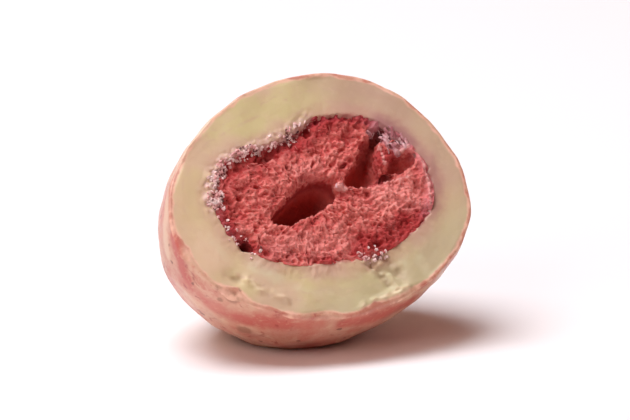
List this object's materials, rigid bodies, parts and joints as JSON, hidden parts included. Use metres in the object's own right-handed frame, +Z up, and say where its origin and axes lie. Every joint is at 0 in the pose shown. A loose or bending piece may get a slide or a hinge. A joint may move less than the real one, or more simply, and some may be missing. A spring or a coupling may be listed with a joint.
{
  "type": "white-chocolate-coated freeze-dried strawberry, cut open",
  "caption": "Ball of white chocolate with pink marbled skin, cut open on the hollow red freeze-dried strawberry inside it.",
  "frame": {"origin": "middle of the small flat spot that the piece rests on", "axes": "+Z up, away from the surface it rests on; -Y towards the front, where the raised cut face looks, turned a little to +X; +X to the right"},
  "size_m": [0.0285, 0.0242, 0.023],
  "materials": {
    "white_chocolate": "white chocolate, cream where cut, marbled pink with strawberry powder outside, soft polish",
    "freeze_dried_fruit": "dry spongy red flesh, matte"
  },
  "bodies": {
    "root": {"white_chocolate_coating": "white_chocolate", "freeze_dried_strawberry": "freeze_dried_fruit"}
  },
  "joints": []
}
